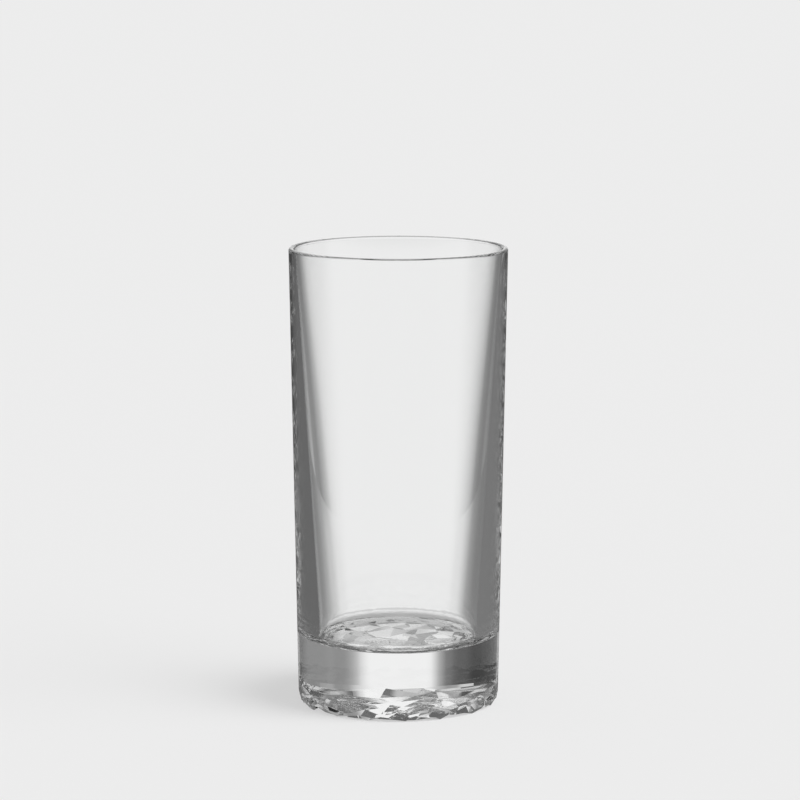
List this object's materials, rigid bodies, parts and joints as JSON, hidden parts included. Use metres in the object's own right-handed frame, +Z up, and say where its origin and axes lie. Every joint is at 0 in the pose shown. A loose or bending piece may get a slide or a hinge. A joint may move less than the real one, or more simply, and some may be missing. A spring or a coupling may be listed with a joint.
{
  "type": "highball glass",
  "caption": "Tall straight tumbler of clear pressed glass with a thin round lip, a thick solid base and an irregularly cut underside; holds a long drink.",
  "frame": {"origin": "centre of the foot, on the table plane that the underside's flat lands rest on", "axes": "+Z up through the middle of the mouth; X and Y along the table, with +Y away from the picture's viewer"},
  "size_m": [0.0712, 0.0712, 0.15],
  "materials": {
    "clear_glass": "fire-polished, colourless"
  },
  "bodies": {
    "root": {"tumbler": "clear_glass"}
  },
  "joints": []
}
